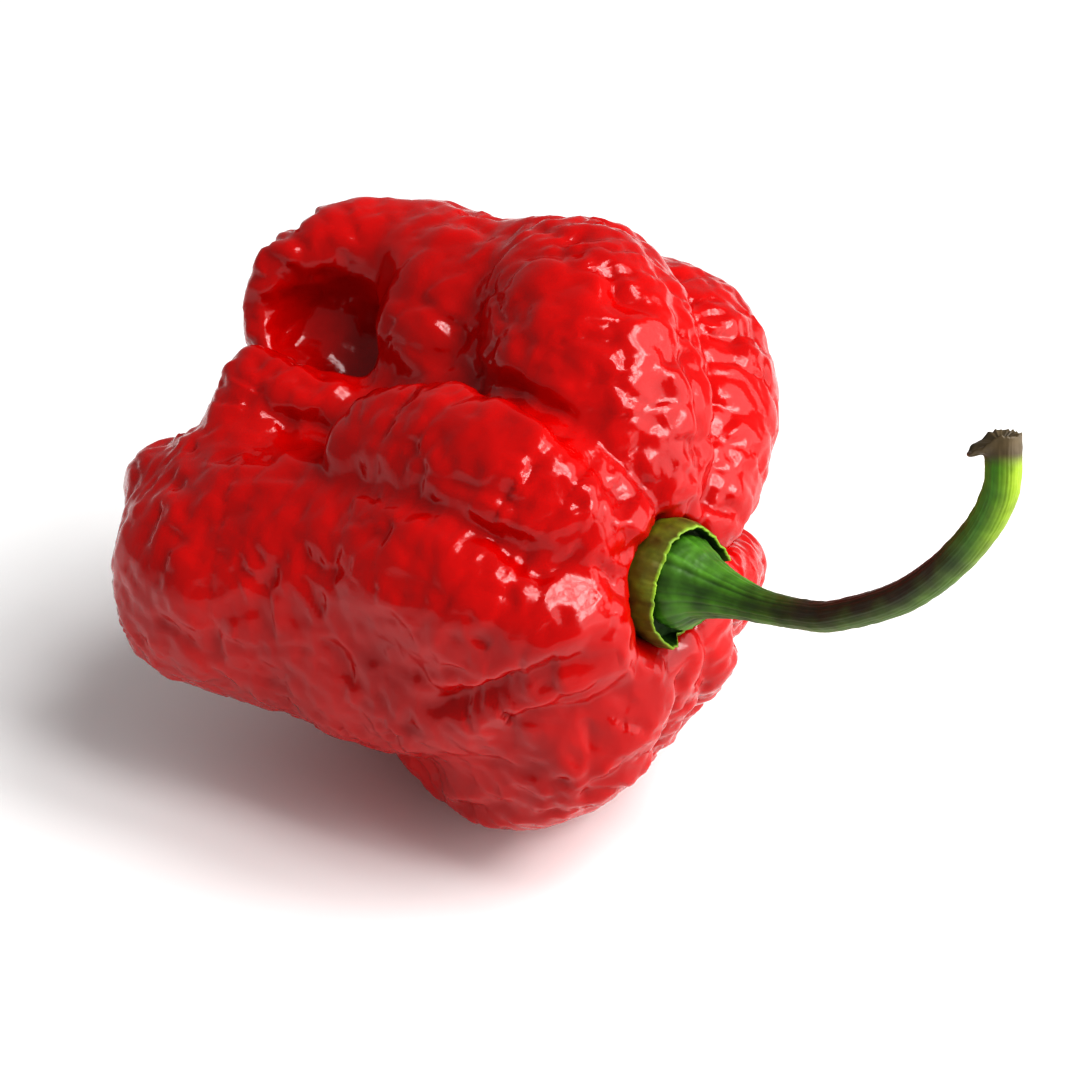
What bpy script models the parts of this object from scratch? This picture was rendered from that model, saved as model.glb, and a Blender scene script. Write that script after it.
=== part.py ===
"""Chilli pepper: a lobed, crumpled red pod that lies on its side, with its calyx and stalk.

Frame: metres, +Z up, +X from the blossom end towards the stalk. The pod rests on the surface at
Z = 0, and the origin is below the middle of the whole pepper's bounding box.
"""
import math

import bmesh
import bpy
from mathutils import Matrix, Vector

MM = 0.001
GAP = 0.3 * MM

# Where the pod's middle stands over the origin, and the height that sets the whole lie.
POD_MIDDLE = Vector((-12.5, -1.9, 21.9)) * MM

# The calyx is a low cup on the pod's stalk end: its middle, measured from the pod's middle, and
# its axis, which leans up from +X.
CALYX_SEAT = Vector((20.5, 0.0, 3.4)) * MM
CALYX_LEAN = math.radians(10.0)
CALYX_RADIUS = 4.35 * MM
CALYX_FOOT_RADIUS = 4.15 * MM
CALYX_WALL = 0.6 * MM
CALYX_HEIGHT = 2.0 * MM
CALYX_FLOOR = 0.6 * MM
CALYX_DEPTH = 1.0 * MM
CALYX_STEPS = 40

# How far the seat's cutter reaches out along the stalk, and the block that cuts the flats.
SEAT_REACH = 14.0 * MM
FLOOR_CUT_SIDE = 80.0 * MM
FLOOR_CUT_DEPTH = 10.0 * MM

# The stalk: a cone in the cup, hollow-sided, that runs out into a thin stem, bent up to a cut end.
CONE_RADIUS = 3.3 * MM
CONE_LENGTH = 8.0 * MM
CONE_STATIONS = 6
CONE_HOLLOWNESS = 1.8
STALK_RADIUS = 1.05 * MM
CUT_RADIUS = 1.3 * MM

# Spacing of the squares in the lobes', the hollow's, the furrows' and the finished skin, rounds of
# relaxing, and what each lobe grows to make up for what the melting and relaxing take off.
LOBE_VOXEL = 1.0 * MM
HOLLOW_VOXEL = 0.7 * MM
FURROW_VOXEL = 0.5 * MM
SKIN_VOXEL = 1.6 * MM
SKIN_SMOOTHING = 1
SKIN_ALLOWANCE = 0.35 * MM
LOBE_SPHERE_DETAIL = 3
STATIONS_PER_SPAN = 3

# Each lobe of the pod is a chain of round stations, from the stalk end to the blossom end.
# A station is (along, clock, out, girth): millimetres along the pod's axis from its middle,
# degrees round that axis from straight up towards +Y, millimetres out from the axis, and the
# lobe's own radius there in millimetres.
LOBES = {
    "core": [(2, 90, 2, 13), (-5, 215, 3, 10)],
    "neck": [(9, 0, 3, 9), (15.5, 0, 3, 5.8)],
    "crown": [(17, 17, 8, 3.5), (13, 18, 11.5, 6), (8, 23, 14.5, 8), (2.5, 34, 16.5, 8), (-3, 46, 14, 8)],
    "crown_tail": [(1.5, 36, 9.5, 6), (-4, 30, 12.5, 8), (-8, 32, 14, 7.5), (-11.5, 36, 13, 6)],
    "hollow_rim": [(-12, 32, 16.5, 4.5), (-15, 20, 15.7, 4.2), (-17, 5, 14.2, 3.6),
                   (-17.5, -3, 11.5, 3.4), (-17, -6, 8, 3.3)],
    "hollow_wall": [(-7, 24, 7, 6.5), (-12.5, 20, 8.5, 5.5), (-16, 16, 8.5, 4.5)],
    "hollow_lip": [(-5, -29, 7.5, 3.3), (-11, -35, 9.5, 3.2), (-14, -42, 9.5, 3.5), (-13, -66, 9.5, 4.5)],
    "brow": [(18.5, -21, 6, 3.4), (15.5, -29, 8.5, 5.1), (11.5, -30, 11, 5.8), (6, -33, 11.5, 5.5),
             (1.5, -37, 12, 4.4)],
    "cheek": [(19, -68, 6.5, 3.8), (17, -73, 8, 5.2), (13, -73, 10, 6.3), (8.5, -70, 11, 6.2),
              (1.5, -77, 11, 6), (-3.5, -82, 11.5, 6)],
    "jowl": [(18, -85, 3.5, 4.4), (15, -108, 6.5, 5.8), (10, -118, 9, 7), (3, -124, 11, 7.4),
             (-5, -130, 12, 6.8)],
    "nose": [(7, -95, 6, 8), (-2, -100, 9.5, 8.7), (-9.5, -99, 13, 8.8), (-12.5, -101, 14, 7)],
    "nose_chin": [(-5.5, -123, 10.5, 7.2), (-11.5, -114, 15, 6.4), (-13, -114, 17, 4.8)],
    "nose_top": [(-7.5, -97, 7, 5.8), (-14.5, -91, 11.5, 5.4), (-17, -88, 13, 4.4)],
    "heel": [(20, -122, 2, 2.7), (18.5, -138, 6.5, 4.6), (16, -147, 10.5, 5.8), (9.5, -158, 15, 5.4),
             (2.5, -164, 14, 5.8)],
    "keel": [(21, 180, 1.5, 1.8), (20, 173, 5.7, 2.4), (17.5, 175, 9.7, 3), (13, 179, 14.5, 4.2),
             (4, 178, 15, 7.3)],
    "keel_twin": [(20.5, 114, 4, 2.3), (19.5, 141, 7.5, 2.8), (15.5, 151, 12, 3.3), (11, 164, 16, 4.8)],
    "button": [(20, 88, 5.5, 2.3), (18, 99, 9.5, 2.6), (14.5, 110, 13, 4.2), (9, 127, 15.5, 7)],
    "far_cheek": [(18, 54, 8, 2.8), (14, 61, 13, 5.1), (8.5, 60, 18.5, 6.3), (4.5, 61, 19.5, 6.7),
                  (-1, 76, 17.5, 8.6)],
    "back": [(7, 90, 14, 7), (-4, 83, 16, 9.5), (-12, 88, 12, 8.4), (-15, 91, 6.5, 7.2)],
    "back_low": [(8.5, 132, 11.5, 6.5), (-1, 145, 15.8, 9), (-9, 150, 13.5, 8.5), (-12.5, 177, 6, 7.5)],
    "belly": [(5, 182, 13, 7.5), (-2, 178, 13.5, 8), (-9, 172, 12.5, 7)],
}


# The blossom end is sunk into a hollow between the crown and the front lobes, cut like a lobe.
HOLLOW = [(-12, -11, 14, 4.3), (-10.5, -7, 12.5, 4.5), (-10.5, 3, 11, 3.7)]

# Furrows pressed in where lobes meet, written like the lobes: their stations lie on the skin.
FURROWS = {
    "crown_to_brow": [(-1, -9, 12.5, 1.6), (7.5, -13, 15, 1.8), (13.5, -15, 15, 1.8),
                      (18, -16, 12.5, 1.6), (20.5, -18, 10, 1.3)],
    "brow_to_heel": [(10.5, -108, 16, 1.3), (13, -103, 14.5, 1.4), (16, -96, 13.5, 1.4),
                     (18, -91, 13, 1.6), (20, -84, 12, 1.4), (22.5, -70, 8.5, 1.3)],
    "brow_end": [(-4.5, -12, 10.5, 1.3), (-6, -27, 11, 1.3), (-6.5, -41, 10.5, 1.4), (-4, -48, 12, 1.3)],
    "crown_fold": [(0, 17, 22, 1.3), (-1, 11, 19, 1.3), (-1, 4, 16, 1.3), (-0.5, 0, 14, 1.3),
                   (-1, -4, 13, 1.3)],
    "crown_to_far_cheek": [(8.5, 32, 23, 1.4), (14.5, 24, 19, 1.4), (17.5, 23, 15.5, 1.4),
                           (19, 24, 12, 1.4), (20, 22, 7.5, 1.1)],
}


# The stem's centre line beyond the cone: (along, across, up) in millimetres from the pod's middle.
STEM_LINE = [(29, 0, 4.95), (35, 0, 7), (40.3, 0, 11),
             (44.2, 0.1, 16), (46.1, 0.45, 20.6), (45.4, 1.4, 24.3)]


def clear_scene():
    """Removes every object, so that only the pepper is left."""
    for item in list(bpy.data.objects):
        bpy.data.objects.remove(item, do_unlink=True)


def new_collection(name):
    """Makes a collection in the scene."""
    group = bpy.data.collections.new(name)
    bpy.context.scene.collection.children.link(group)
    return group


def new_object(name, data, group, parent=None):
    """Puts data in the scene as a named object."""
    item = bpy.data.objects.new(name, data)
    group.objects.link(item)
    item.parent = parent
    return item


def material(name, colour, roughness):
    """A plain Principled material. Nothing on a pepper is metal."""
    result = bpy.data.materials.new(name)
    result.use_nodes = True
    shader = result.node_tree.nodes["Principled BSDF"]
    shader.inputs["Base Color"].default_value = (*colour, 1.0)
    shader.inputs["Roughness"].default_value = roughness
    shader.inputs["Metallic"].default_value = 0.0
    return result


def station_point(along, clock, out):
    """A station's place, in metres from the pod's middle."""
    turn = math.radians(clock)
    return Vector((along, out * math.sin(turn), out * math.cos(turn))) * MM


def smooth_chain(stations):
    """Rounds a lobe's stations into (point, radius) pairs on a Catmull-Rom curve."""
    knots = []
    for along, clock, out, girth in stations:
        knots.append(Vector((*station_point(along, clock, out), girth * MM + SKIN_ALLOWANCE)))
    ends = [2 * knots[0] - knots[1]] + knots + [2 * knots[-1] - knots[-2]]
    chain = []
    for before, start, end, after in zip(ends, ends[1:], ends[2:], ends[3:]):
        for step in range(STATIONS_PER_SPAN):
            t = step / STATIONS_PER_SPAN
            chain.append(0.5 * (2 * start + (end - before) * t
                                + (2 * before - 5 * start + 4 * end - after) * t ** 2
                                + (3 * start - before - 3 * end + after) * t ** 3))
    chain.append(knots[-1])
    return [(Vector(knot[:3]), knot[3]) for knot in chain]


def add_lobe(shape, stations):
    """Adds a lobe: the convex skins round each two spheres that follow each other."""
    chain = smooth_chain(stations)
    for (start, start_radius), (end, end_radius) in zip(chain, chain[1:]):
        link = bmesh.new()
        for centre, radius in ((start, start_radius), (end, end_radius)):
            bmesh.ops.create_icosphere(link, subdivisions=LOBE_SPHERE_DETAIL, radius=radius,
                                       matrix=Matrix.Translation(centre))
        hull = bmesh.ops.convex_hull(link, input=link.verts)
        inner = [item for item in hull["geom_interior"] if isinstance(item, bmesh.types.BMVert)]
        bmesh.ops.delete(link, geom=inner, context="VERTS")
        piece = bpy.data.meshes.new("lobe_link")
        link.to_mesh(piece)
        link.free()
        shape.from_mesh(piece)
        bpy.data.meshes.remove(piece)


def lobed_mesh(name, lobes):
    """A mesh of overlapping lobes, for a Remesh modifier to melt into one skin."""
    shape = bmesh.new()
    for stations in lobes:
        add_lobe(shape, stations)
    mesh = bpy.data.meshes.new(name)
    shape.to_mesh(mesh)
    shape.free()
    return mesh


def add_remesh(item, voxel):
    """Melts overlapping closed surfaces into one skin of even squares."""
    remesh = item.modifiers.new("melt", "REMESH")
    remesh.mode = "VOXEL"
    remesh.voxel_size = voxel
    remesh.use_smooth_shade = True


def add_smooth(item, rounds):
    """Relaxes the skin, which also rounds the furrows between lobes."""
    smooth = item.modifiers.new("relax", "SMOOTH")
    smooth.factor = 0.5
    smooth.iterations = rounds


def add_cut(item, cutter):
    """Takes the cutter's shape out of the item."""
    cut = item.modifiers.new("cut_" + cutter.name, "BOOLEAN")
    cut.operation = "DIFFERENCE"
    cut.solver = "EXACT"
    cut.object = cutter


def mark_cutter(item):
    """Shows a cutter as a wire, and keeps it out of renders."""
    item.hide_render = True
    item.display_type = "WIRE"


def calyx_matrix():
    """The calyx's own frame: +Z runs out along the stalk."""
    return Matrix.Translation(CALYX_SEAT) @ Matrix.Rotation(math.pi / 2 - CALYX_LEAN, 4, "Y")


def make_hollow_cutter(group, root):
    """The hollow at the blossom end."""
    cutter = new_object("hollow_cutter", lobed_mesh("hollow_cutter", [HOLLOW]), group, root)
    add_remesh(cutter, HOLLOW_VOXEL)
    mark_cutter(cutter)
    return cutter


def make_furrow_cutter(group, root):
    """Every furrow between lobes, as one cutter."""
    mesh = lobed_mesh("furrow_cutter", FURROWS.values())
    cutter = new_object("furrow_cutter", mesh, group, root)
    add_remesh(cutter, FURROW_VOXEL)
    mark_cutter(cutter)
    return cutter


def make_seat_cutter(group, root):
    """The round seat that the calyx sits in, open all the way out along the stalk."""
    shape = bmesh.new()
    radius = CALYX_RADIUS + GAP
    bmesh.ops.create_cone(shape, cap_ends=True, segments=CALYX_STEPS, radius1=radius, radius2=radius,
                          depth=SEAT_REACH, matrix=Matrix.Translation((0, 0, SEAT_REACH / 2)))
    mesh = bpy.data.meshes.new("seat_cutter")
    shape.to_mesh(mesh)
    shape.free()
    cutter = new_object("seat_cutter", mesh, group, root)
    cutter.matrix_local = calyx_matrix() @ Matrix.Translation((0, 0, -CALYX_DEPTH - GAP))
    mark_cutter(cutter)
    return cutter


def make_floor_cutter(group, root):
    """Takes off what would reach below the surface, which leaves the flats the pod lies on."""
    shape = bmesh.new()
    size = Matrix.Diagonal((FLOOR_CUT_SIDE, FLOOR_CUT_SIDE, FLOOR_CUT_DEPTH, 1.0))
    bmesh.ops.create_cube(shape, size=1.0, matrix=size)
    mesh = bpy.data.meshes.new("floor_cutter")
    shape.to_mesh(mesh)
    shape.free()
    cutter = new_object("floor_cutter", mesh, group, root)
    cutter.location = (0, 0, -POD_MIDDLE.z - FLOOR_CUT_DEPTH / 2)
    mark_cutter(cutter)
    return cutter


def make_fruit(group, cutters, root):
    """The pod: lobes melted into one skin, with the hollow, the calyx seat and the flats cut in."""
    fruit = new_object("fruit", lobed_mesh("fruit", LOBES.values()), group, root)
    fruit.data.materials.append(material("red_skin", (0.55, 0.012, 0.008), 0.2))
    add_remesh(fruit, LOBE_VOXEL)
    add_cut(fruit, make_hollow_cutter(cutters, root))
    add_cut(fruit, make_furrow_cutter(cutters, root))
    add_remesh(fruit, SKIN_VOXEL)
    add_smooth(fruit, SKIN_SMOOTHING)
    add_cut(fruit, make_seat_cutter(cutters, root))
    add_cut(fruit, make_floor_cutter(cutters, root))
    return fruit


def make_calyx(group, root):
    """A turned cup: a floor under the stalk's cone and a low collar round it."""
    profile = [
        (0.0, CALYX_FLOOR),
        (CALYX_FOOT_RADIUS - CALYX_WALL, CALYX_FLOOR),
        (CALYX_RADIUS - CALYX_WALL, CALYX_HEIGHT),
        (CALYX_RADIUS, CALYX_HEIGHT),
        (CALYX_FOOT_RADIUS, 0.0),
        (CALYX_FOOT_RADIUS, -CALYX_DEPTH),
        (0.0, -CALYX_DEPTH),
    ]
    mesh = bpy.data.meshes.new("calyx")
    points = [(radius, 0.0, height) for radius, height in profile]
    mesh.from_pydata(points, [(i, i + 1) for i in range(len(points) - 1)], [])
    calyx = new_object("calyx", mesh, group, root)
    calyx.matrix_local = calyx_matrix()
    mesh.materials.append(material("calyx_green", (0.06, 0.12, 0.01), 0.55))
    turn = calyx.modifiers.new("turn", "SCREW")
    turn.steps = CALYX_STEPS
    turn.render_steps = CALYX_STEPS
    turn.use_merge_vertices = True
    turn.merge_threshold = 0.01 * MM
    turn.use_smooth_shade = False
    return calyx


def cone_points():
    """The cone's centre line and radii, from the calyx floor to where the stem begins."""
    frame = calyx_matrix()
    start = CALYX_FLOOR + GAP
    points = []
    for step in range(CONE_STATIONS):
        share = step / CONE_STATIONS
        radius = STALK_RADIUS + (CONE_RADIUS - STALK_RADIUS) * (1 - share) ** CONE_HOLLOWNESS
        points.append((frame @ Vector((0, 0, start + share * CONE_LENGTH)), radius))
    return points


def make_stem(group, root):
    """The stalk: one bevelled curve whose radius falls along the cone and flares at the cut."""
    points = cone_points()
    for place in STEM_LINE:
        points.append((Vector(place) * MM, STALK_RADIUS))
    points[-1] = (points[-1][0], CUT_RADIUS)
    curve = bpy.data.curves.new("stem", "CURVE")
    curve.dimensions = "3D"
    curve.bevel_depth = STALK_RADIUS
    curve.bevel_resolution = 4
    curve.resolution_u = 3
    curve.use_fill_caps = True
    spline = curve.splines.new("BEZIER")
    spline.bezier_points.add(len(points) - 1)
    for knot, (point, radius) in zip(spline.bezier_points, points):
        knot.co = point
        knot.radius = radius / STALK_RADIUS
        knot.handle_left_type = "AUTO"
        knot.handle_right_type = "AUTO"
    stem = new_object("stem", curve, group, root)
    curve.materials.append(material("stem_green", (0.05, 0.09, 0.015), 0.5))
    return stem


def main():
    """Builds the whole pepper under one empty, which sets it over the origin."""
    clear_scene()
    parts = new_collection("chilli_pepper")
    cutters = new_collection("cutters")
    root = new_object("pepper", None, parts)
    root.location = POD_MIDDLE
    make_fruit(parts, cutters, root)
    make_calyx(parts, root)
    make_stem(parts, root)


main()
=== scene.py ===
import itertools
import math

import bmesh
import bpy
import numpy as np
from mathutils import Matrix, Vector


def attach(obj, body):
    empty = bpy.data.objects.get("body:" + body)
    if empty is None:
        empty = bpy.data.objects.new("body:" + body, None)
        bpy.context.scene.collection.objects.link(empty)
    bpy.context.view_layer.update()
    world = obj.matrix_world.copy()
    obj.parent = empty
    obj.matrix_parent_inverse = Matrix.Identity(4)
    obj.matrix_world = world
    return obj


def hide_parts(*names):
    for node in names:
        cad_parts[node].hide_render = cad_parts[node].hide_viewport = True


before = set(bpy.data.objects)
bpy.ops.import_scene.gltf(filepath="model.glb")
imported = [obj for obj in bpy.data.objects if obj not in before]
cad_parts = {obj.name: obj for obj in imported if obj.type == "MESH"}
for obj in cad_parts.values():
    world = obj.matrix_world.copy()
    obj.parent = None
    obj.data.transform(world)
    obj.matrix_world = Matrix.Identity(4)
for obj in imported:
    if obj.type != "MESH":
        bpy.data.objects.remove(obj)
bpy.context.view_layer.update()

MM = 0.001

# ---------------------------------------------------------------------------------------------
# Places and sizes. The pod is sculpted in millimetres from its own middle, as in the CAD part.
# ---------------------------------------------------------------------------------------------

POD_MIDDLE = np.array([-12.5, -1.9, 21.9])
CALYX_SEAT = np.array([20.5, 0.0, 3.4])
CALYX_LEAN = math.radians(10.0)
CALYX_OUT = np.array([math.cos(CALYX_LEAN), 0.0, math.sin(CALYX_LEAN)])
CALYX_UP = np.array([-math.sin(CALYX_LEAN), 0.0, math.cos(CALYX_LEAN)])
CALYX_SIDE = np.array([0.0, 1.0, 0.0])

# The grid that the pod's skin is drawn from: its two corners and the size of a cell. Distances are
# worked out in full within NEAR_CELLS cells of the skin.
GRID_LOW = np.array([-25.0, -25.0, -24.0])
GRID_HIGH = np.array([26.0, 28.0, 25.0])
SKIN_CELL = 0.66
NEAR_CELLS = 2.8

# How the skin's points are then pulled onto the exact shape: the number of steps, the share of the
# distance covered in each, and the longest distance counted.
PULL_STEPS = 3
PULL_SHARE = 0.9
PULL_REACH = 0.3

# The lowest that any point of the skin may lie over the table.
TABLE_GAP = 0.02

# Each lobe of the pod is a chain of round stations: (along, clock, out, girth) in millimetres and
# degrees. The number after the chain is how softly the lobe blends with those before it, so the
# first one's number is not used.
LOBES = {
    "core": ([(2, 90, 2, 13), (-5, 215, 3, 10)], 5),
    "neck": ([(9, 0, 3, 9), (15.5, 0, 3, 5.8)], 2),
    "crown": ([(17, 17, 8, 3.5), (13, 18, 11.5, 6), (8, 23, 14.5, 8), (2.5, 34, 16.5, 8),
               (-3, 46, 14, 8)], 0.7),
    "crown_tail": ([(1.5, 36, 9.5, 6), (-4, 30, 12.5, 8), (-8, 32, 14, 7.5),
                    (-11.5, 36, 13, 6)], 1.6),
    "hollow_rim": ([(-12, 32, 16.5, 4.5), (-15, 20, 15.7, 4.2), (-17, 5, 14.2, 3.6),
                    (-17.5, -3, 11.5, 3.4), (-17, -6, 8, 3.3)], 2.8),
    "hollow_wall": ([(-7, 24, 7, 6.5), (-12.5, 20, 8.5, 5.5), (-16, 16, 8.5, 4.5)], 1.2),
    "hollow_lip": ([(-5, -29, 7.5, 3.3), (-11, -35, 9.5, 3.2), (-14, -39, 10, 3.5),
                    (-13, -66, 9.5, 4.5)], 1),
    "brow": ([(18.5, -21, 6, 3.4), (15.5, -29, 8.5, 5.1), (11.5, -30, 11, 5.8), (6, -33, 11.5, 5.5),
              (1.5, -37, 12, 4.4), (0, -43, 12.5, 3.5)], 0.8),
    "cheek": ([(19, -68, 6.5, 3.8), (17, -73, 8, 5.2), (13, -73, 10, 6.3), (8.5, -70, 11, 6.2),
               (1.5, -77, 11, 6), (-3.5, -82, 11.5, 6)], 1.2),
    "jowl": ([(18, -85, 3.5, 4.4), (15, -108, 6.5, 5.8), (10, -118, 9, 7), (3, -124, 11, 7.4),
              (-5, -130, 12, 6.8)], 2.5),
    "nose": ([(7, -95, 6, 8), (-2, -100, 9.5, 8.7), (-9.5, -99, 13, 8.8), (-12.5, -101, 14, 7)], 3),
    "nose_chin": ([(-5.5, -123, 10.5, 7.2), (-11.5, -114, 15, 6.4), (-13, -114, 17, 4.8)], 3),
    "nose_top": ([(-7.5, -97, 7, 5.8), (-14.5, -91, 11.5, 5.4), (-17, -88, 13, 4.4)], 2),
    "heel": ([(20, -122, 2, 2.7), (18.5, -138, 6.5, 4.6), (16, -147, 10.5, 5.8), (9.5, -158, 15, 5.4),
              (2.5, -164, 14, 5.8)], 2.2),
    "keel": ([(21, 180, 1.5, 1.8), (20, 173, 5.7, 2.4), (17.5, 175, 9.7, 3), (13, 179, 14.5, 4.2),
              (4, 178, 15, 7.3)], 0.6),
    "keel_twin": ([(20.5, 114, 4, 2.3), (19.5, 141, 7.5, 2.8), (15.5, 151, 12, 3.3),
                   (11, 164, 16, 4.8)], 0.6),
    "button": ([(20, 88, 5.5, 2.3), (18, 99, 9.5, 2.6), (14.5, 110, 13, 4.2), (9, 127, 15.5, 7)], 0.6),
    "far_cheek": ([(18, 54, 8, 2.8), (14, 61, 13, 5.1), (8.5, 60, 18.5, 6.3), (4.5, 61, 19.5, 6.7),
                   (-1, 76, 17.5, 8.6)], 0.6),
    "back": ([(7, 90, 14, 7), (-4, 83, 16, 9.5), (-12, 88, 12, 8.4), (-15, 91, 6.5, 7.2)], 1),
    "back_low": ([(8.5, 132, 11.5, 6.5), (-1, 145, 15.8, 9), (-9, 150, 13.5, 8.5),
                  (-12.5, 177, 6, 7.5)], 1),
    "belly": ([(5, 182, 13, 7.5), (-2, 178, 13.5, 8), (-9, 172, 12.5, 7)], 1.5),
}

# The hollow at the blossom end, cut into the lobes round it: stations like those of a lobe.
HOLLOW = [(-11.5, -11, 15.5, 4.2), (-14.5, -7, 12, 3.2), (-12.5, -3, 11.5, 3.6), (-10.5, 0, 10.5, 3.7)]

# How softly the hollow's edge is rounded, from the side away from the rim to the rim's side. It
# changes over a span in millimetres across the hollow's middle.
HOLLOW_BLENDS = (0.7, 3.6)
HOLLOW_RIM_WAY = np.array([-0.53, 0.21, 0.82])
HOLLOW_BLEND_SPAN = 7.0

# The seat that the calyx stands in: its radius, how fast it widens outwards, its floor along the
# calyx's axis, and its rounding.
SEAT_RADIUS = 4.4
SEAT_FLARE = 1.1
SEAT_HEIGHT = -0.4
SEAT_BLEND = 1.2

# Furrows pressed into the skin: stations on it as (along, clock, out, half width), and a depth.
FURROWS = {
    "crown_to_brow": ([(-1, -9, 12.5, 1), (7.5, -13, 15, 1.1), (13.5, -15, 15, 1.1), (18, -16, 12.5, 1),
                       (20.5, -18, 10, 0.8)], 0.7),
    "brow_to_heel": ([(10.5, -108, 16, 0.8), (13, -103, 14.5, 0.9), (16, -96, 13.5, 0.9),
                      (18, -91, 13, 1), (20, -84, 12, 0.9), (22.5, -70, 8.5, 0.8)], 0.9),
    "brow_end": ([(-4.5, -12, 10.5, 0.8), (-6, -27, 11, 0.8), (-6.5, -41, 10.5, 0.9),
                  (-4, -48, 12, 0.8)], 0.35),
    "crown_fold": ([(0, 17, 22, 0.8), (-1, 11, 19, 0.8), (-1, 4, 16, 0.8), (-0.5, 0, 14, 0.8),
                    (-1, -4, 13, 0.8)], 0.4),
    "crown_to_far_cheek": ([(8.5, 32, 23, 0.9), (14.5, 24, 19, 0.9), (17.5, 23, 15.5, 0.9),
                            (19, 24, 12, 0.9), (20, 22, 7.5, 0.7)], 0.4),
    "nose_line": ([(-8.5, -65, 17, 0.5), (-5, -61, 16, 0.5), (-2, -57, 14.5, 0.5)], 0.25),
    "nose_crack": ([(-2.5, -88, 19, 0.5), (-1, -94, 18.5, 0.5), (-0.5, -100, 18.5, 0.5)], 0.25),
    "heel_fold": ([(8, -150, 19.5, 0.8), (11, -147, 19, 0.7), (14.5, -142, 17, 0.7),
                   (18, -133, 15, 0.7)], 0.5),
    "brow_under": ([(4, -50, 15.5, 0.9), (6.5, -50, 16, 1), (10, -49, 15.5, 1), (14.5, -49, 14.5, 1),
                    (18, -46, 12, 0.9)], 0.35),
}

# Furrows fade out over this length at both ends. The bank beside them is a share of their depth,
# and its place and width are counted in half widths of the furrow.
FURROW_FADE = 3.0
BANK_SHARE = 0.25
BANK_PLACE = 2.2
BANK_WIDTH = 0.9

# Wrinkles that run across each lobe: (length along the lobe, length across it, height, how much
# they bend), in millimetres. CRUMPLE_CREASE says how sharp they are, as creased() takes it.
CRUMPLES = [(2.0, 3.6, 0.32, 0.35), (1.1, 2.0, 0.15, 0.6)]
CRUMPLE_CREASE = (1.1, 0.9, 0.2)
CRUMPLE_SHIFT = 13.7

# A lobe's wrinkles fade into its neighbour's over this length, and are left out below a weight.
LOBE_FADE = 0.8
LEAST_WEIGHT = 0.02

# Rounder blobs and slow swells: (length, height) in millimetres.
BLOBS = [(2.3, 0.38), (1.1, 0.16)]
BLOB_CREASE = (0.7, 0.8, 0.25)
BLOB_BEND = 0.8
SWELLS = [(6.0, 0.30), (3.2, 0.22)]

# The noise that bends the wrinkles, and the one that makes them stronger in some places:
# a length in millimetres and a height.
BEND = (4.0, 0.7)
PATCHES = (7.0, 0.5)
PATCH_MIDDLE = 0.95

# For each of these, the shift of the noise's grid and its first seed.
BEND_NOISE = (9.5, 70)
BLOB_NOISE = (5.3, 60)
SWELL_NOISE = (3.1, 40)
PATCH_NOISE = (2.2, 80)

# Places where the crumples are lower, by SMOOTHING at the middle: (along, clock, out, radius).
SMOOTH_SHEETS = [(-8, 13, 15.5, 5.5), (0.5, -50, 14, 5.0), (-13, -6, 8.5, 5.0)]
SMOOTHING = 0.75


# ---------------------------------------------------------------------------------------------
# Small tools
# ---------------------------------------------------------------------------------------------

def place(along, clock, out):
    """A point of the pod from its cylinder coordinates, in millimetres from its middle."""
    turn = math.radians(clock)
    return np.array([along, out * math.sin(turn), out * math.cos(turn)])


def smooth_line(knots, steps):
    """Points on a Catmull-Rom curve through the knots."""
    knots = np.asarray(knots, float)
    ends = np.vstack([2 * knots[0] - knots[1], knots, 2 * knots[-1] - knots[-2]])
    line = []
    for before, start, end, after in zip(ends, ends[1:], ends[2:], ends[3:]):
        for t in np.arange(steps) / steps:
            line.append(0.5 * (2 * start + (end - before) * t
                               + (2 * before - 5 * start + 4 * end - after) * t ** 2
                               + (3 * start - before - 3 * end + after) * t ** 3))
    line.append(knots[-1])
    return np.array(line)


def station_line(stations, steps=3):
    """Stations as points with their last number kept: (x, y, z, number)."""
    return smooth_line([(*place(*station[:3]), station[3]) for station in stations], steps)


def near_line(points, line):
    """The nearest place on a line: distance less its radius, length along it, and the way out."""
    best = np.full(len(points), np.inf)
    along = np.zeros(len(points))
    outward = np.zeros((len(points), 3))
    passed = 0.0
    for start, end in zip(line, line[1:]):
        step = end[:3] - start[:3]
        length = np.linalg.norm(step)
        share = np.clip((points - start[:3]) @ step / max(length ** 2, 1e-9), 0, 1)
        way = points - start[:3] - share[:, None] * step
        distance = np.linalg.norm(way, axis=1) - (start[3] + share * (end[3] - start[3]))
        nearer = distance < best
        best[nearer] = distance[nearer]
        along[nearer] = passed + share[nearer] * length
        outward[nearer] = way[nearer]
        passed += length
    return best, along, outward


def smooth_min(first, second, reach):
    """The smaller of two distances, rounded where they meet."""
    overlap = np.maximum(reach - np.abs(first - second), 0) / reach
    return np.minimum(first, second) - overlap * overlap * reach / 4


def noise(points, seed):
    """Gradient noise between about -1 and 1, the same on every run."""
    random = np.random.default_rng(seed)
    table = random.permutation(256)
    slopes = random.normal(size=(256, 3))
    slopes /= np.linalg.norm(slopes, axis=1, keepdims=True)
    cell = np.floor(points).astype(int)
    inside = points - cell
    fade = inside ** 3 * (inside * (inside * 6 - 15) + 10)
    total = np.zeros(len(points))
    for corner in itertools.product((0, 1), repeat=3):
        x, y, z = ((cell + corner) & 255).T
        slope = slopes[table[(table[(table[x] + y) & 255] + z) & 255]]
        weight = np.prod(np.where(corner, fade, 1 - fade), axis=1)
        total += weight * ((inside - corner) * slope).sum(axis=1)
    return 1.6 * total


def creased(wave, slope, crease, lift):
    """A wave with its upper half flattened and its lower half made steeper."""
    return slope * wave - crease * np.abs(wave) + lift


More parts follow.
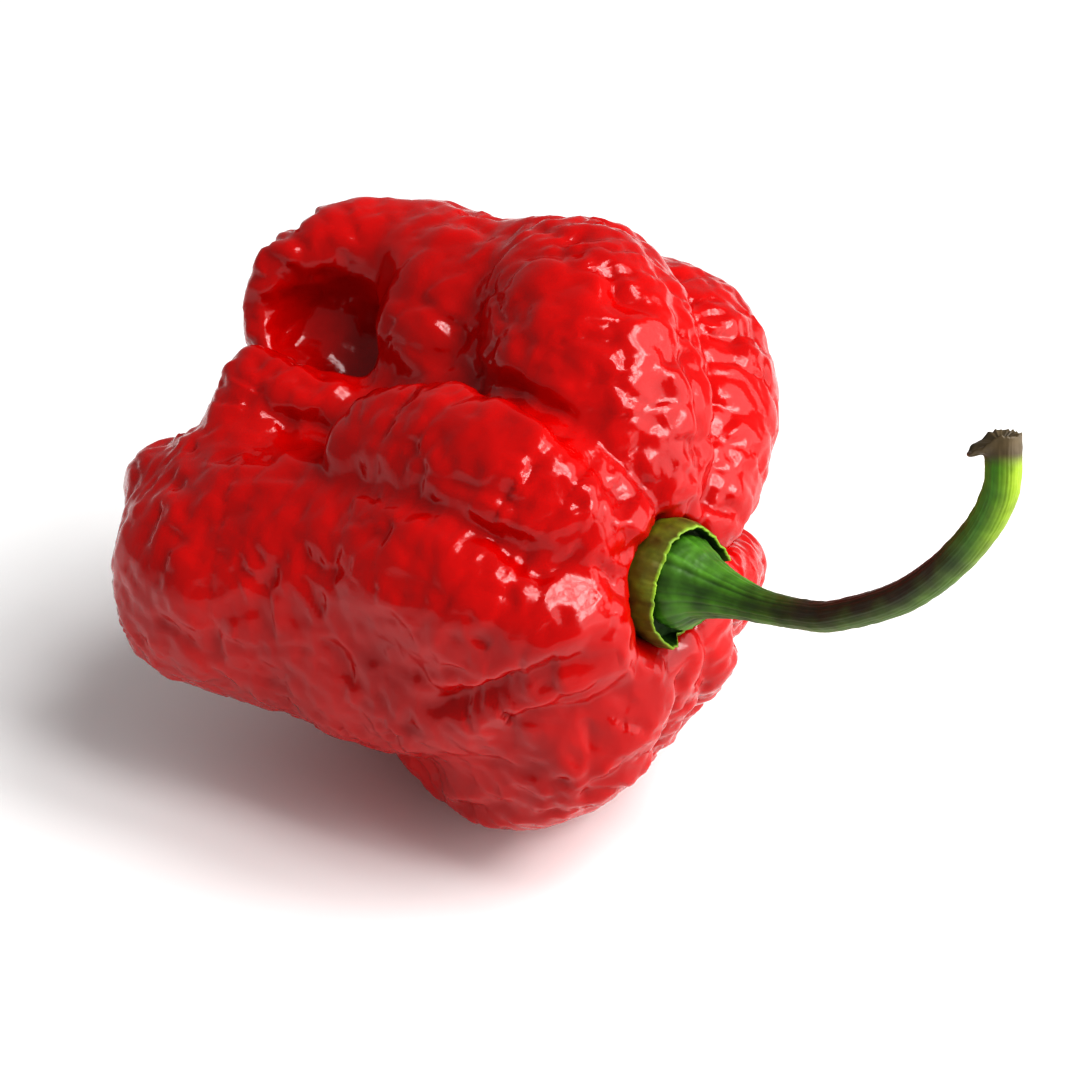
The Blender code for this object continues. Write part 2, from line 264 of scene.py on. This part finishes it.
def ragged(spin, layers):
    """Unevenness round a ring, in layers of (fineness, shift, height, seed)."""
    return sum(height * noise(spin * fineness + shift, seed)
               for fineness, shift, height, seed in layers)


def lumpy(points, layers):
    """Small lumps over a surface, in layers of (length, height, seed)."""
    return sum(height * noise(points / length, seed) for length, height, seed in layers)


# ---------------------------------------------------------------------------------------------
# The pod
# ---------------------------------------------------------------------------------------------

LOBE_LINES = [(station_line(stations), blend) for stations, blend in LOBES.values()]
HOLLOW_LINE = station_line(HOLLOW)


def seat_distance(points):
    """Distance to the round seat under the calyx, which is open out along the stalk."""
    spot = points - CALYX_SEAT
    height = spot @ CALYX_OUT
    radius = np.linalg.norm(spot - height[:, None] * CALYX_OUT, axis=1)
    wall = radius - SEAT_RADIUS - SEAT_FLARE * np.maximum(height, 0)
    return np.maximum(wall, SEAT_HEIGHT - height)


def hollow_blend(points):
    """How softly the hollow's edge is rounded at each point."""
    middle = HOLLOW_LINE[len(HOLLOW_LINE) // 2, :3]
    share = np.clip(0.5 + (points - middle) @ HOLLOW_RIM_WAY / HOLLOW_BLEND_SPAN, 0, 1)
    return HOLLOW_BLENDS[0] + (HOLLOW_BLENDS[1] - HOLLOW_BLENDS[0]) * share


def pod_distance(points):
    """Signed distance to the bare pod: its lobes run together, less the hollow and the seat."""
    distance = None
    for line, blend in LOBE_LINES:
        lobe = near_line(points, line)[0]
        distance = lobe if distance is None else smooth_min(distance, lobe, blend)
    distance = -smooth_min(-distance, near_line(points, HOLLOW_LINE)[0], hollow_blend(points))
    return -smooth_min(-distance, seat_distance(points), SEAT_BLEND)


def sampled_grid(low, count, cell):
    """Distances at a grid's corners: exact near the skin, from a grid twice as coarse elsewhere."""
    coarse = tuple(number // 2 + 2 for number in count)
    corners = [low[axis] + 2 * cell * np.arange(coarse[axis]) for axis in range(3)]
    points = np.stack(np.meshgrid(*corners, indexing="ij"), -1).reshape(-1, 3)
    rough = pod_distance(points).reshape(coarse)
    index = np.indices(count).reshape(3, -1) // 2
    distance = rough[tuple(index)]
    near = np.abs(distance) < NEAR_CELLS * cell
    fine = low + cell * np.indices(count).reshape(3, -1).T
    distance[near] = pod_distance(fine[near])
    return distance.reshape(count)


def box_slices(corner, size):
    """Slices that take a box of a grid, from a corner."""
    return tuple(slice(first, first + count) for first, count in zip(corner, size))


def surface_net(low, high, cell):
    """A skin of squares over the pod, one point in each cell that the skin passes through."""
    count = tuple(np.ceil((high - low) / cell).astype(int) + 1)
    value = sampled_grid(low, count, cell)
    cells = np.array(count) - 1
    total = np.zeros((*cells, 3))
    hits = np.zeros(cells)
    for axis in range(3):
        others = [other for other in range(3) if other != axis]
        for sides in itertools.product((0, 1), repeat=2):
            start = np.zeros(3, int)
            start[others] = sides
            end = start.copy()
            end[axis] = 1
            near, far = (value[box_slices(corner, cells)] for corner in (start, end))
            crossed = (near < 0) != (far < 0)
            share = near / np.where(crossed, near - far, 1)
            spot = np.broadcast_to(start.astype(float), (*cells, 3)).copy()
            spot[..., axis] = share
            total += np.where(crossed[..., None], spot, 0)
            hits += crossed
    used = hits > 0
    number = np.full(cells, -1)
    number[used] = np.arange(used.sum())
    points = low + cell * (np.argwhere(used) + total[used] / hits[used][:, None])
    return points, net_faces(value < 0, number)


def net_faces(solid, number):
    """One square for each grid edge that goes in or out of the pod."""
    faces = []
    for axis in range(3):
        first, second = [other for other in range(3) if other != axis]
        here = [slice(1, size - 1) for size in solid.shape]
        there = list(here)
        here[axis] = slice(0, solid.shape[axis] - 1)
        there[axis] = slice(1, solid.shape[axis])
        inside, beyond = solid[tuple(here)], solid[tuple(there)]
        for outward, crossing in ((True, inside & ~beyond), (False, ~inside & beyond)):
            edge = np.argwhere(crossing)
            edge[:, [first, second]] += 1
            ring = []
            for back_first, back_second in ((1, 1), (0, 1), (0, 0), (1, 0)):
                cell = edge.copy()
                cell[:, first] -= back_first
                cell[:, second] -= back_second
                ring.append(number[tuple(cell.T)])
            square = np.stack(ring, axis=1)
            faces.append(square if outward == (axis != 1) else square[:, ::-1])
    return np.vstack(faces)


def mesh_points(mesh):
    """A mesh's points as an array."""
    points = np.empty(3 * len(mesh.vertices))
    mesh.vertices.foreach_get("co", points)
    return points.reshape(-1, 3)


def set_points(mesh, points):
    """Moves a mesh's points, and returns the way out of the mesh at each."""
    mesh.vertices.foreach_set("co", points.ravel())
    mesh.update()
    normals = np.empty(3 * len(mesh.vertices))
    mesh.vertex_normals.foreach_get("vector", normals)
    return normals.reshape(-1, 3)


def halved_faces(points, faces):
    """Splits each square into four, with the new points halfway."""
    shape = bpy.data.meshes.new("halved")
    shape.from_pydata(points.tolist(), [], faces.tolist())
    item = bpy.data.objects.new("halved", shape)
    bpy.context.scene.collection.objects.link(item)
    split = item.modifiers.new("split", "SUBSURF")
    split.levels = 1
    split.render_levels = 1
    split.subdivision_type = "SIMPLE"
    graph = bpy.context.evaluated_depsgraph_get()
    result = bpy.data.meshes.new_from_object(item.evaluated_get(graph))
    bpy.data.objects.remove(item)
    bpy.data.meshes.remove(shape)
    return result


def lobe_wrinkles(along, outward, bend, number):
    """Height of the wrinkles on one lobe, which run across it."""
    height = np.zeros(len(along))
    for layer, (length, width, tall, bending) in enumerate(CRUMPLES):
        spot = outward / width + bend * bending
        spot[:, 0] += along / length
        wave = noise(spot + CRUMPLE_SHIFT * number, 10 * number + layer)
        height += tall * creased(wave, *CRUMPLE_CREASE)
    return height


def crumple(points):
    """Height of the crumpled skin: wrinkles across each lobe, over rounder blobs and swells."""
    lobes = [near_line(points, line) for line, _ in LOBE_LINES]
    nearest = np.min([lobe[0] for lobe in lobes], axis=0)
    height = np.zeros(len(points))
    total = np.zeros(len(points))
    length, tall = BEND
    shift, seed = BEND_NOISE
    bend = tall * np.stack([noise(points / length + shift, seed + axis) for axis in range(3)], axis=1)
    for number, (distance, along, outward) in enumerate(lobes):
        weight = np.exp(-(distance - nearest) / LOBE_FADE)
        close = weight > LEAST_WEIGHT
        wrinkles = lobe_wrinkles(along[close], outward[close], bend[close], number)
        height[close] += weight[close] * wrinkles
        total += weight
    height /= total
    shift, seed = BLOB_NOISE
    for layer, (length, tall) in enumerate(BLOBS):
        wave = noise(points / length + BLOB_BEND * bend + shift, seed + layer)
        height += tall * creased(wave, *BLOB_CREASE)
    length, tall = PATCHES
    shift, seed = PATCH_NOISE
    height *= PATCH_MIDDLE + tall * noise(points / length + shift, seed)
    for *spot, radius in SMOOTH_SHEETS:
        reach = np.linalg.norm(points - place(*spot), axis=1) / radius
        height *= 1 - SMOOTHING * np.exp(-reach ** 2)
    shift, seed = SWELL_NOISE
    for layer, (length, tall) in enumerate(SWELLS):
        height += tall * noise(points / length + shift, seed + layer)
    return height


def furrow(points):
    """How far the furrows press the skin in, with a low bank on both sides."""
    depth = np.zeros(len(points))
    for stations, deepest in FURROWS.values():
        line = station_line(stations, 6)
        bare = np.hstack([line[:, :3], np.zeros((len(line), 1))])
        distance, along, _ = near_line(points, bare)
        length = np.linalg.norm(np.diff(line[:, :3], axis=0), axis=1).sum()
        fade = np.clip(np.minimum(along, length - along) / FURROW_FADE, 0, 1)
        reach = distance / np.mean(line[:, 3])
        bank = BANK_SHARE * np.exp(-((reach - BANK_PLACE) / BANK_WIDTH) ** 2)
        depth += deepest * fade * (np.exp(-reach ** 2) - bank)
    return depth


def sculpt_pod():
    """The pod's mesh, in metres: net, split squares, pulled onto the shape, then crumpled."""
    points, faces = surface_net(GRID_LOW, GRID_HIGH, SKIN_CELL)
    mesh = halved_faces(points, faces)
    points = mesh_points(mesh)
    outward = set_points(mesh, points)
    for _ in range(PULL_STEPS):
        move = np.clip(pod_distance(points), -PULL_REACH, PULL_REACH)
        points -= PULL_SHARE * move[:, None] * outward
        outward = set_points(mesh, points)
    points += (crumple(points) - furrow(points))[:, None] * outward
    points += POD_MIDDLE
    points[:, 2] = np.maximum(points[:, 2], TABLE_GAP)
    set_points(mesh, points * MM)
    mesh.shade_smooth()
    return mesh


def add_object(name, data):
    """Puts data in the scene under a name."""
    item = bpy.data.objects.new(name, data)
    bpy.context.scene.collection.objects.link(item)
    return item


# ---------------------------------------------------------------------------------------------
# The calyx and the stalk
# ---------------------------------------------------------------------------------------------

# The collar's torn rim: (degrees round from straight up towards +Y, height, radius).
RIM = [(-180, 0.9, 3.9), (-166, 1.0, 3.8), (-153, 1.9, 4.4), (-142, 2.2, 4.55), (-127, 1.9, 4.3),
       (-108, 2.0, 4.35), (-96, 1.95, 4.15), (-83, 2.05, 3.95), (-68, 2.0, 3.75),
       (-51, 2.05, 3.85), (-41, 1.95, 3.75),
       (-23, 2.0, 4.1), (0, 2.0, 4.25), (11, 2.0, 4.3), (17, 2.2, 4.4), (34, 2.25, 3.98), (50, 2.0, 3.95),
       (65, 2.1, 3.9), (80, 2.2, 4.1), (88, 2.1, 4.35), (92, 1.0, 4.2), (110, 0.7, 4.1), (130, 0.9, 4.2),
       (145, 1.3, 4.45), (157, 0.9, 4.2), (168, 0.6, 4.05), (180, 0.9, 3.9)]
COLLAR_FOOT_RADIUS = 4.35
COLLAR_FOOT_HEIGHT = -0.7
COLLAR_FLOOR = 0.3
COLLAR_WALL = 0.45
COLLAR_EDGE = 0.16
COLLAR_STEPS = 300

# The outer wall's rings: their number, how late they spread, how far they bulge, and the share of
# the height over which the wall has the rim's colour.
WALL_RINGS = 16
WALL_SPREAD = 1.3
WALL_BULGE = 0.22
WALL_TOP = 0.97

# The rounded edge, the inner wall's rings and the share of the height where they start, and how
# far in from the foot the rings lie that close the cup below and above its floor.
EDGE_RISE = 0.07
EDGE_DROP = 0.02
INNER_RINGS = 12
INNER_START = 0.08
FOOT_INSET = 1.5
FLOOR_INSET = 2.5

# Unevenness of the collar, as ragged() and lumpy() take it.
RIM_TEARS = [(7, 0, 0.16, 90), (22, 0, 0.09, 91)]
RIM_WAVES = [(9, 0, 0.10, 92)]
FOOT_WAVES = [(3, 0, 0.12, 93)]
COLLAR_LUMPS = [(0.9, 0.07, 94), (0.4, 0.03, 95)]

# Colours of the collar: its wall, the spots on its wall, its rim, and its inside, deep green darkened as
# painted shade.
OLIVE = np.array([0.136, 0.168, 0.01])
UMBER = np.array([0.088, 0.068, 0.006])
LIME = np.array([0.221, 0.357, 0.025])
LEAF_AND_SHADE = np.array([0.03, 0.085, 0.007])
SPOT_LENGTH = 1.3

# The stalk's middle line: (along, side, up, radius) in millimetres from the pod's middle.
STALK = [(21.0, -0.1, 3.6, 3.0), (21.7, -0.15, 3.85, 3.3), (22.4, -0.2, 4.1, 3.25),
         (23.4, -0.15, 4.3, 2.65), (24.4, -0.1, 4.4, 2.1), (26.4, 0, 4.6, 1.52),
         (28.9, 0, 4.95, 1.15), (32, 0, 5.75, 1.04), (35, 0, 7, 1.04), (40.3, 0, 11, 1.08),
         (44.2, 0.1, 16, 1.1), (46.1, 0.45, 20.6, 1.12), (45.4, 1.4, 24.3, 1.15)]
STALK_STEPS = 24
STALK_SIDES = 160

# The ribs' unevenness, their height along the thin stalk and how much higher they are on the cone,
# and the length from the cut over which they rise.
RIBS = [(3.1, 4.2, 0.9, 100), (6.3, 0, 0.7, 101), (11, 0, 0.45, 102)]
RIB_HEIGHT = 0.04
CONE_RIB_HEIGHT = 0.085
CONE_LENGTH = 6.0
RIB_RISE = 2.0
STALK_LUMPS = [(0.8, 0.035, 97), (0.35, 0.02, 98)]

# The cut end: the length that it shapes, the beak's way and sharpness, how far the beak stands out
# and bends back, how much the rest narrows, and the cut's unevenness.
END_LENGTH = 0.8
BEAK_WAY = np.array([-0.731, -0.682, 0.0])
BEAK_SHARPNESS = 4
BEAK_OUT = 1.1
BEAK_BACK = 1.35
END_NARROWING = 0.06
CUT_TEARS = [(5, 0, 0.2, 103)]

# Rings that close the cut: (share of the radius, depth in millimetres).
CUT_RINGS = [(0.8, 0.02), (0.55, 0.16), (0.25, 0.22)]

# Colours of the stalk, and the way that its dark back faces. TIP_LENGTH and CUT_LENGTH are counted
# from the cut.
# CONE is the cone's green where lit and CONE_SHADE its green in shade, painted into the grooves between
# the ribs.
CONE = np.array([0.072, 0.204, 0.012])
CONE_SHADE = np.array([0.02, 0.06, 0.005])
STALK_GREEN = np.array([0.072, 0.136, 0.012])
STALK_DARK = np.array([0.030, 0.024, 0.010])
STALK_TIP = np.array([0.246, 0.357, 0.012])
CUT = np.array([0.085, 0.060, 0.028])
DARK_WAY = np.array([-0.35, -0.25, 0.85])
MOTTLE_LENGTH = 1.5
TIP_LENGTH = 11.0
TIP_FADE = 6.0
CUT_LENGTH = 2.0
CUT_FADE = 0.8


def ring_mesh(name, rings, tints):
    """A closed skin through rings of points, with a colour for each point."""
    count, sides, _ = rings.shape
    points, colours = (np.concatenate([sheet.reshape(-1, 3), [sheet[0].mean(axis=0)],
                                       [sheet[-1].mean(axis=0)]]) for sheet in (rings, tints))
    first = np.arange(count * sides).reshape(count, sides)
    beside = np.roll(first, -1, axis=1)
    squares = np.stack([first[:-1], beside[:-1], beside[1:], first[1:]], axis=-1).reshape(-1, 4)
    foot, tip = count * sides, count * sides + 1
    faces = squares.tolist()
    for before, after in zip(first[0].tolist(), beside[0].tolist()):
        faces.append((foot, after, before))
    for before, after in zip(first[-1].tolist(), beside[-1].tolist()):
        faces.append((tip, before, after))
    mesh = bpy.data.meshes.new(name)
    mesh.from_pydata(((points + POD_MIDDLE) * MM).tolist(), [], faces)
    layer = mesh.color_attributes.new("tint", "FLOAT_COLOR", "POINT")
    layer.data.foreach_set("color", np.hstack([colours, np.ones((len(points), 1))]).ravel())
    mesh.shade_smooth()
    return mesh


def blend(first, second, share):
    """Colours between two, by a share for each."""
    share = np.clip(share, 0, 1)[..., None]
    return first * (1 - share) + second * share


def ring_turns(start, end, count):
    """Even turns round a ring, and the same as points on a circle of radius 1."""
    turn = np.linspace(start, end, count, endpoint=False)
    return turn, np.stack([np.cos(turn), np.sin(turn), np.zeros(count)], axis=1)


def collar_profile(turn, spin):
    """The collar's rings as (radius, height, colour): outer wall, edge, inner wall and floor."""
    knots = np.array(RIM)
    rim_height = np.interp(np.degrees(turn), knots[:, 0], knots[:, 1])
    rim_height += ragged(spin, RIM_TEARS)
    rim_radius = np.interp(np.degrees(turn), knots[:, 0], knots[:, 2]) + ragged(spin, RIM_WAVES)
    foot = COLLAR_FOOT_RADIUS + ragged(spin, FOOT_WAVES)
    # The ring under the foot is painted dark green, as shade.
    profile = [(foot - FOOT_INSET, COLLAR_FOOT_HEIGHT + 0 * turn, LEAF_AND_SHADE)]
    for share in np.linspace(0, 1, WALL_RINGS):
        bulge = WALL_BULGE * math.sin(math.pi * share)
        radius = foot + (rim_radius - foot) * share ** WALL_SPREAD + bulge
        height = COLLAR_FOOT_HEIGHT + (rim_height - COLLAR_FOOT_HEIGHT) * share
        profile.append((radius, height, LIME if share > WALL_TOP else OLIVE))
    profile.append((rim_radius - COLLAR_EDGE / 2, rim_height + EDGE_RISE, LIME))
    profile.append((rim_radius - COLLAR_EDGE, rim_height - EDGE_DROP, LIME))
    # The inner wall and floor are painted dark green, partly the calyx's deeper green and partly painted
    # shade inside the cup.
    for share in np.linspace(INNER_START, 1, INNER_RINGS):
        inner_foot = foot - COLLAR_WALL
        radius = rim_radius - COLLAR_EDGE + (inner_foot - rim_radius + COLLAR_EDGE) * share
        profile.append((radius, rim_height + (COLLAR_FLOOR - rim_height) * share, LEAF_AND_SHADE))
    profile.append((foot - FLOOR_INSET, COLLAR_FLOOR + 0 * turn, LEAF_AND_SHADE))
    return profile


def collar_mesh():
    """A low cup with a torn rim, whose outer wall is spotted with brown."""
    turn, spin = ring_turns(-math.pi, math.pi, COLLAR_STEPS)
    rings, tints = [], []
    for radius, height, colour in collar_profile(turn, spin):
        around = (np.outer(radius * np.cos(turn), CALYX_UP)
                  + np.outer(radius * np.sin(turn), CALYX_SIDE))
        ring = CALYX_SEAT + around + np.outer(height, CALYX_OUT)
        ring += lumpy(ring, COLLAR_LUMPS)[:, None] * around / radius[:, None]
        spots = 0.5 + 0.9 * noise(ring / SPOT_LENGTH, 96)
        tints.append(blend(colour, UMBER if colour is OLIVE else colour, spots))
        rings.append(ring)
    return ring_mesh("calyx_collar", np.array(rings)[:, ::-1], np.array(tints)[:, ::-1])


def unit_rows(vectors):
    """Vectors scaled to length 1."""
    return vectors / np.linalg.norm(vectors, axis=1, keepdims=True)


def stalk_mesh():
    """A ribbed cone that runs out into a thin bent stalk with a flared, slanting cut."""
    line = smooth_line(STALK, STALK_STEPS)
    steps = np.linalg.norm(np.diff(line[:, :3], axis=0), axis=1)
    along = np.concatenate([[0], np.cumsum(steps)])
    left = along[-1] - along
    forward = unit_rows(np.gradient(line[:, :3], axis=0))
    side = unit_rows(np.cross(CALYX_SIDE, forward))
    across = np.cross(forward, side)
    turn, spin = ring_turns(0, 2 * math.pi, STALK_SIDES)
    round_way = (np.cos(turn)[None, :, None] * side[:, None]
                 + np.sin(turn)[None, :, None] * across[:, None])
    ribs = ragged(spin, RIBS)
    rib_height = RIB_HEIGHT + CONE_RIB_HEIGHT * np.exp(-(along / CONE_LENGTH) ** 2)
    rib_height *= np.clip(left / RIB_RISE, 0, 1)
    radius = line[:, 3][:, None] + rib_height[:, None] * ribs
    beak = np.clip(round_way @ BEAK_WAY, 0, 1) ** BEAK_SHARPNESS
    near_end = np.exp(-(left / END_LENGTH) ** 2)[:, None]
    radius += near_end * (BEAK_OUT * beak - END_NARROWING)
    rings = line[:, None, :3] + round_way * radius[..., None]
    bent_back = near_end * (BEAK_BACK * beak + ragged(spin, CUT_TEARS))
    rings -= bent_back[..., None] * forward[:, None]
    lumps = lumpy(rings.reshape(-1, 3), STALK_LUMPS)
    rings += lumps.reshape(radius.shape)[..., None] * round_way
    tints = stalk_tints(rings, round_way, along, left, ribs)
    middle = rings[-1].mean(axis=0)
    for share, drop in CUT_RINGS:
        cap = middle + (rings[-1] - middle) * share - drop * forward[-1]
        rings = np.concatenate([rings, cap[None]])
        tints = np.concatenate([tints, blend(CUT, CUT * 0.5, 1.4 * (1 - share) + 0 * turn)[None]])
    return ring_mesh("stalk", rings, tints)


def stalk_tints(rings, round_way, along, left, ribs):
    """Colours of the stalk: leaf green cone with painted shade in its rib grooves, purple-brown back,
    lime tip and brown cut.
    """
    mottle = noise(rings.reshape(-1, 3) / MOTTLE_LENGTH, 99).reshape(rings.shape[:2])
    # Painted shade: the cone is darker in the grooves between its ribs, and in random blotches.
    tint = blend(CONE, CONE_SHADE, 0.35 - 0.45 * ribs[None, :] + 0.5 * mottle)
    back = 0.5 + 0.8 * (round_way @ DARK_WAY) + 0.4 * mottle
    thin = blend(STALK_GREEN, STALK_DARK, back)
    tint = blend(tint, thin, (along[:, None] - CONE_LENGTH) / CONE_LENGTH)
    tip = blend(STALK_TIP, CONE, 0.45 + 0.9 * (round_way @ BEAK_WAY) + 0.2 * mottle)
    tint = blend(tint, tip, (TIP_LENGTH - left[:, None]) / TIP_FADE)
    return blend(tint, CUT, (CUT_LENGTH - left[:, None]) / CUT_FADE)


# ---------------------------------------------------------------------------------------------
# Materials
# ---------------------------------------------------------------------------------------------

# The skin's two reds, from its darker to its brighter blotches, the noise values they stand at,
# and its gloss.
SKIN_REDS = [(0.3, (0.37, 0.0003, 0.0003, 1)), (0.75, (0.51, 0.0012, 0.0006, 1))]
SKIN_LOOK = {
    "Roughness": 0.16,
    "Specular IOR Level": 0.42,
    "Subsurface Weight": 0.45,
    "Subsurface Radius": (1.0, 0.15, 0.08),
    "Subsurface Scale": 0.003,
}

# Noises as (scale, detail) and bumps as (strength, distance in metres).
SKIN_BLOTCHES = (140.0, 3.0)
SKIN_GRAIN = (1400.0, 2.0)
SKIN_BUMP = (0.25, 0.0001)
GREEN_DETAIL = 4.0
GREEN_BUMP = (0.4, 0.00012)

# The greens' roughness and the scale of their grain, and how the grain changes their brightness.
COLLAR_LOOK = (0.5, 900.0)
STALK_LOOK = (0.48, 600.0)
GRAIN_RANGE = {"From Min": 0.3, "From Max": 0.7, "To Min": 0.7, "To Max": 1.35}

TABLE_LOOK = {"Base Color": (0.86, 0.86, 0.855, 1), "Roughness": 0.6}


def new_material(name):
    """A new material with nodes, and its Principled shader."""
    material = bpy.data.materials.new(name)
    material.use_nodes = True
    return material, material.node_tree.nodes["Principled BSDF"]


def set_inputs(node, values):
    """Sets a node's inputs by name."""
    for name, value in values.items():
        node.inputs[name].default_value = value


def grain_node(tree, scale, detail):
    """Noise over the piece's own coordinates, which are in metres."""
    position = tree.nodes.new("ShaderNodeTexCoord")
    grain = tree.nodes.new("ShaderNodeTexNoise")
    set_inputs(grain, {"Scale": scale, "Detail": detail})
    tree.links.new(position.outputs["Object"], grain.inputs["Vector"])
    return grain


def add_bump(tree, grain, shader, strength, distance):
    """Roughens a shader's surface by a noise."""
    bump = tree.nodes.new("ShaderNodeBump")
    set_inputs(bump, {"Strength": strength, "Distance": distance})
    tree.links.new(grain.outputs["Fac"], bump.inputs["Height"])
    tree.links.new(bump.outputs["Normal"], shader.inputs["Normal"])


def skin_material():
    """Waxy red skin."""
    material, shader = new_material("pepper_skin")
    tree = material.node_tree
    blotch = grain_node(tree, *SKIN_BLOTCHES)
    ramp = tree.nodes.new("ShaderNodeValToRGB")
    for element, (position, colour) in zip(ramp.color_ramp.elements, SKIN_REDS):
        element.position = position
        element.color = colour
    tree.links.new(blotch.outputs["Fac"], ramp.inputs["Fac"])
    tree.links.new(ramp.outputs["Color"], shader.inputs["Base Color"])
    set_inputs(shader, SKIN_LOOK)
    add_bump(tree, grain_node(tree, *SKIN_GRAIN), shader, *SKIN_BUMP)
    return material


def plant_material(name, roughness, grain_scale):
    """Green plant skin: the piece's own colours, with a fine grain."""
    material, shader = new_material(name)
    tree = material.node_tree
    colours = tree.nodes.new("ShaderNodeAttribute")
    colours.attribute_name = "tint"
    grain = grain_node(tree, grain_scale, GREEN_DETAIL)
    level = tree.nodes.new("ShaderNodeMapRange")
    set_inputs(level, GRAIN_RANGE)
    tree.links.new(grain.outputs["Fac"], level.inputs["Value"])
    scale = tree.nodes.new("ShaderNodeVectorMath")
    scale.operation = "SCALE"
    tree.links.new(colours.outputs["Color"], scale.inputs[0])
    tree.links.new(level.outputs["Result"], scale.inputs["Scale"])
    tree.links.new(scale.outputs["Vector"], shader.inputs["Base Color"])
    set_inputs(shader, {"Roughness": roughness})
    add_bump(tree, grain, shader, *GREEN_BUMP)
    return material


def floor_material():
    """Plain white table."""
    material, shader = new_material("table")
    set_inputs(shader, TABLE_LOOK)
    return material


# ---------------------------------------------------------------------------------------------
# Stage, light and camera
# ---------------------------------------------------------------------------------------------

# The camera: its angle round the pod and above the table, its distance, the width that it frames,
# and how far its aim lies right of the pod's middle and above it, in millimetres.
VIEW_AZIMUTH = math.radians(43.0)
VIEW_HEIGHT = math.radians(32.0)
VIEW_DISTANCE = 200.0
FRAME_WIDTH = 81.0
AIM_RIGHT = 6.0
AIM_UP = -1.725
SENSOR_WIDTH = 36.0

# The window, placed by the camera's right, up and backward directions.
WINDOW_TOWARD = (0.50, 0.55, 0.67)
WINDOW_DISTANCE = 800.0
WINDOW_COLUMNS = 2
WINDOW_ROWS = 2
PANE_WIDTH = 180.0
PANE_HEIGHT = 210.0
PANE_GAP = 50.0
WINDOW_RADIANCE = 8.8

# A wide, weak light further down on the right, which opens the shade under the pod on that side.
FILL_TOWARD = (0.84, 0.30, 0.45)
FILL_DISTANCE = 600.0
FILL_SIDE = 700.0
FILL_RADIANCE = 2.1
SURROUNDINGS = 0.34


def view_axes():
    """The camera's right, up and backward directions."""
    back = np.array([math.sin(VIEW_AZIMUTH) * math.cos(VIEW_HEIGHT),
                     -math.cos(VIEW_AZIMUTH) * math.cos(VIEW_HEIGHT),
                     math.sin(VIEW_HEIGHT)])
    right = np.array([math.cos(VIEW_AZIMUTH), math.sin(VIEW_AZIMUTH), 0.0])
    return right, np.cross(back, right), back


def make_camera():
    """The camera, which looks down on the pod's stalk side."""
    right, up, back = view_axes()
    lens = bpy.data.cameras.new("camera")
    lens.sensor_width = SENSOR_WIDTH
    lens.lens = SENSOR_WIDTH * VIEW_DISTANCE / FRAME_WIDTH
    lens.clip_start = 0.01
    camera = add_object("camera", lens)
    eye = POD_MIDDLE + AIM_RIGHT * right + AIM_UP * up + VIEW_DISTANCE * back
    turn = Matrix((right, up, back)).transposed().to_4x4()
    camera.matrix_world = Matrix.Translation(Vector(eye * MM)) @ turn
    bpy.context.scene.camera = camera


def facing_lamp(name, toward, distance, width, height, radiance):
    """A rectangular lamp that faces the pod. toward is by the camera's right, up and backward."""
    right, up, back = view_axes()
    way = toward[0] * right + toward[1] * up + toward[2] * back
    way /= np.linalg.norm(way)
    lamp = bpy.data.lights.new(name, "AREA")
    lamp.shape = "RECTANGLE"
    lamp.size = width * MM
    lamp.size_y = height * MM
    lamp.energy = radiance * math.pi * lamp.size * lamp.size_y
    item = add_object(name, lamp)
    item.location = (POD_MIDDLE + distance * way) * MM
    item.rotation_mode = "QUATERNION"
    item.rotation_quaternion = Vector(way).to_track_quat("Z", "Y")
    return item


def window_light():
    """A window high on the right, as panes in one plane."""
    for column in range(WINDOW_COLUMNS):
        for row in range(WINDOW_ROWS):
            pane = facing_lamp("pane", WINDOW_TOWARD, WINDOW_DISTANCE,
                               PANE_WIDTH, PANE_HEIGHT, WINDOW_RADIANCE)
            across = (column - (WINDOW_COLUMNS - 1) / 2) * (PANE_WIDTH + PANE_GAP) * MM
            along = (row - (WINDOW_ROWS - 1) / 2) * (PANE_HEIGHT + PANE_GAP) * MM
            pane.location += pane.rotation_quaternion @ Vector((across, along, 0))


def make_stage():
    """White table, dim white surroundings, a window's light and the fill light."""
    mesh = bpy.data.meshes.new("table")
    shape = bmesh.new()
    bmesh.ops.create_grid(shape, x_segments=2, y_segments=2, size=1.0)
    shape.to_mesh(mesh)
    shape.free()
    mesh.materials.append(floor_material())
    add_object("table", mesh)
    world = bpy.data.worlds.new("surroundings")
    bpy.context.scene.world = world
    world.use_nodes = True
    background = world.node_tree.nodes["Background"]
    set_inputs(background, {"Color": (1, 1, 1, 1), "Strength": SURROUNDINGS})
    window_light()
    facing_lamp("fill", FILL_TOWARD, FILL_DISTANCE, FILL_SIDE, FILL_SIDE, FILL_RADIANCE)
    bpy.context.scene.view_settings.view_transform = "Standard"
    bpy.context.scene.view_settings.look = "High Contrast"


# ---------------------------------------------------------------------------------------------
# The whole
# ---------------------------------------------------------------------------------------------

def make_pod():
    """The pod stands for the CAD fruit."""
    mesh = sculpt_pod()
    mesh.materials.append(skin_material())
    pod = add_object("pod", mesh)
    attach(pod, "root")
    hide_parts("fruit")


def make_collar():
    """The calyx's torn collar stands for the CAD calyx."""
    collar = add_object("calyx_collar", collar_mesh())
    collar.data.materials.append(plant_material("collar_green", *COLLAR_LOOK))
    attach(collar, "root")
    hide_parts("calyx")


def make_stalk():
    """The ribbed stalk with its cut end stands for the CAD stem."""
    stalk = add_object("stalk", stalk_mesh())
    stalk.data.materials.append(plant_material("stalk_green", *STALK_LOOK))
    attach(stalk, "root")
    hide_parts("stem")


make_pod()
make_collar()
make_stalk()
make_camera()
make_stage()
